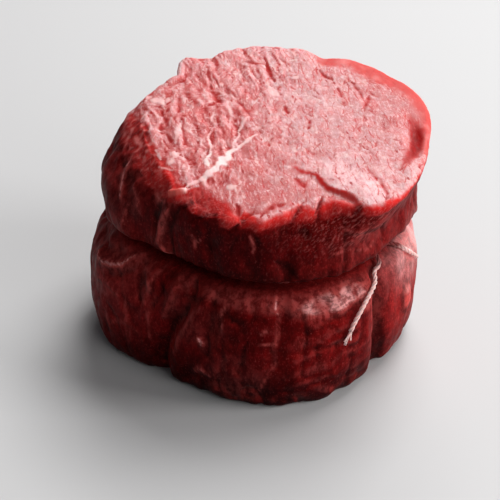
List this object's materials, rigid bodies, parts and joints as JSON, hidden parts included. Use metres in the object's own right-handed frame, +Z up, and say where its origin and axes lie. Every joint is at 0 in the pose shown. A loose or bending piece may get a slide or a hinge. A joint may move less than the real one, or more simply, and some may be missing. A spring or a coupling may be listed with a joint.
{
  "type": "beef tenderloin",
  "caption": "Thick piece of raw beef tenderloin standing on a cut face, tied round its middle with butcher's twine.",
  "frame": {"origin": "middle of the bounding box's bottom face, on the flat lower cut face", "axes": "+Z up through the piece from the lower to the upper cut face, +X to the right seen from the front, -Y towards the front where the twine's long end hangs"},
  "size_m": [0.0886, 0.0826, 0.0641],
  "materials": {
    "meat": "moist raw muscle, glossy on the cut face, duller and darker round the side",
    "twine": "damp twisted cotton stained pale pink"
  },
  "bodies": {
    "root": {"tenderloin": "meat", "twine": "twine"}
  },
  "joints": []
}
